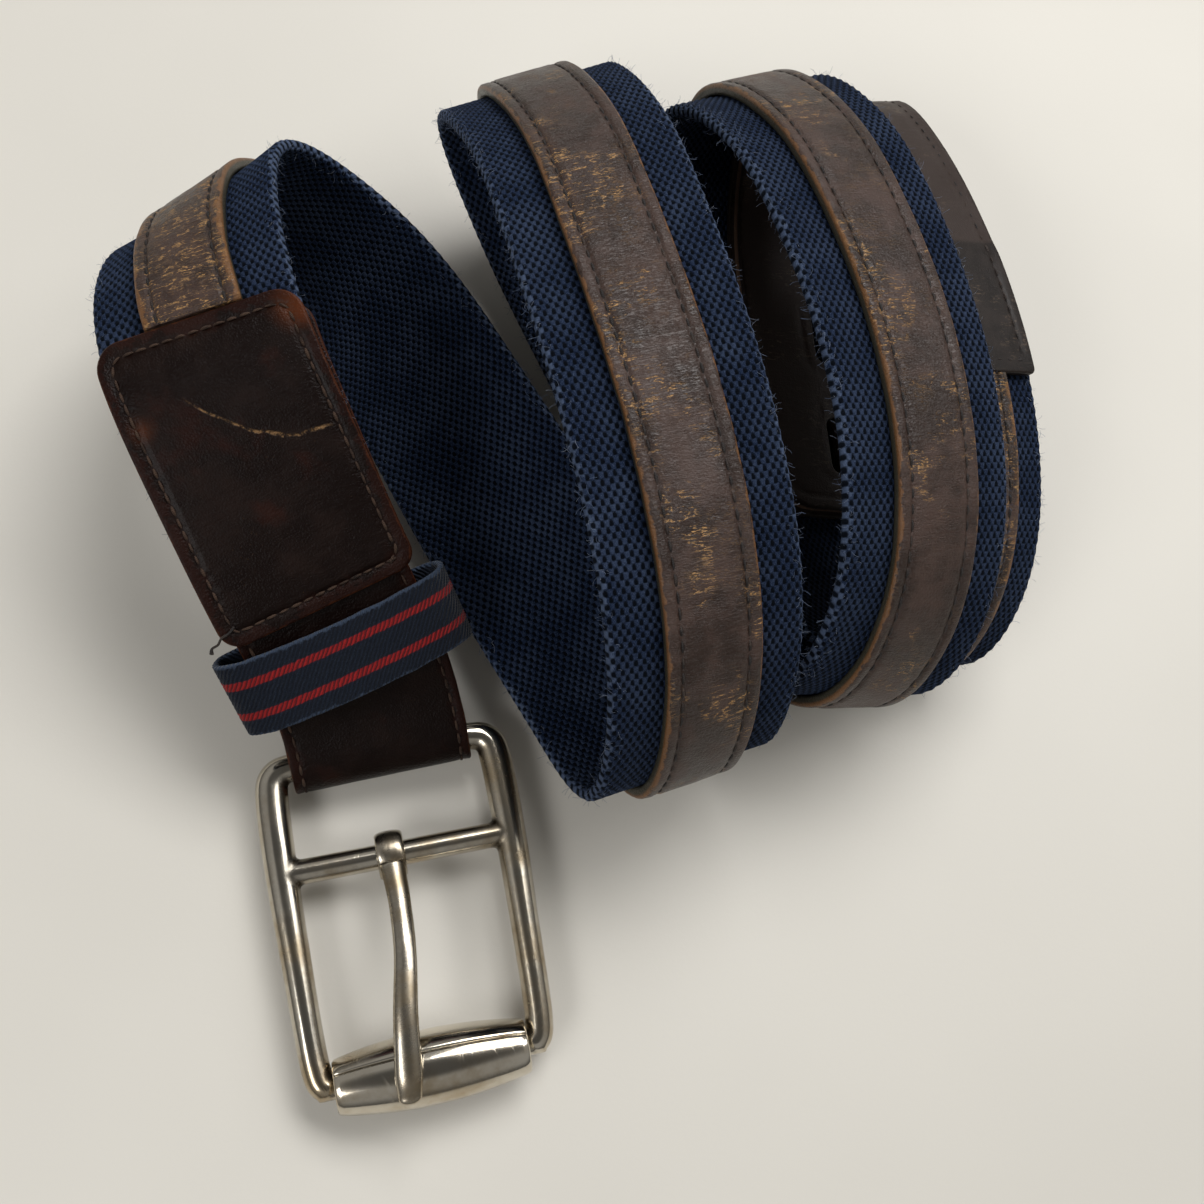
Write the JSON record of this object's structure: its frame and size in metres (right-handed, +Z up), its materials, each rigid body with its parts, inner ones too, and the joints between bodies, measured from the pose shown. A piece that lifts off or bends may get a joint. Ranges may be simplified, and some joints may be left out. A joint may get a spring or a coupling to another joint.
{
  "type": "coiled webbing and leather belt",
  "caption": "Webbing belt with a sewn leather centre strip, leather tab and punched leather billet, roller buckle and ribbon keeper, rolled into a loose open coil lying on its edges.",
  "frame": {"origin": "on the table under the middle of the coil's box", "axes": "+X along the buckle's bars, +Y from the roller towards the far bends of the coil, +Z up"},
  "size_m": [0.179, 0.2008, 0.0737],
  "materials": {
    "webbing": "coarse woven navy webbing with paler worn edges",
    "strip_leather": "worn grey-brown leather, satin, with tan creases",
    "dark_leather": "very dark brown waxed leather, half gloss, reddish worn edges",
    "thread": "waxed grey-brown sewing thread",
    "core_board": "stiff brown reinforcing board, matt",
    "nickel": "aged nickel plate, slightly warm, softly scratched",
    "ribbon": "fine twill ribbon, navy with two narrow red lines"
  },
  "bodies": {
    "strap": {"webbing": "webbing", "centre_strip": "strip_leather", "strip_seam_left": "thread", "strip_seam_right": "thread", "chape_loop": "dark_leather", "chape_seam_left": "thread", "chape_seam_right": "thread", "tab_front": "dark_leather", "tab_back": "dark_leather", "tab_seam": "thread", "billet_front": "strip_leather", "billet_back": "strip_leather", "billet_core": "core_board"},
    "buckle": {"buckle_frame": "nickel"},
    "prong": {"prong": "nickel"},
    "roller": {"roller": "nickel"},
    "keeper": {"keeper_ribbon": "ribbon"}
  },
  "joints": [
    {"name": "buckle_hinge", "type": "hinge", "parent": "strap", "child": "buckle", "pos_m": [-0.0506, -0.0325, 0.0069], "axis": [-1, 0, 0], "range_deg": [0, 45]},
    {"name": "prong_hinge", "type": "hinge", "parent": "buckle", "child": "prong", "pos_m": [-0.0506, -0.0531, 0.0069], "axis": [-1, 0, 0], "range_deg": [0, 80]},
    {"name": "roller_spin", "type": "hinge", "parent": "buckle", "child": "roller", "pos_m": [-0.0506, -0.0935, 0.0069], "axis": [1, 0, 0], "continuous": true},
    {"name": "keeper_slide", "type": "slide", "parent": "strap", "child": "keeper", "axis": [-0.2657, 0.769, 0.5814], "range_m": [-0.002, 0]}
  ]
}
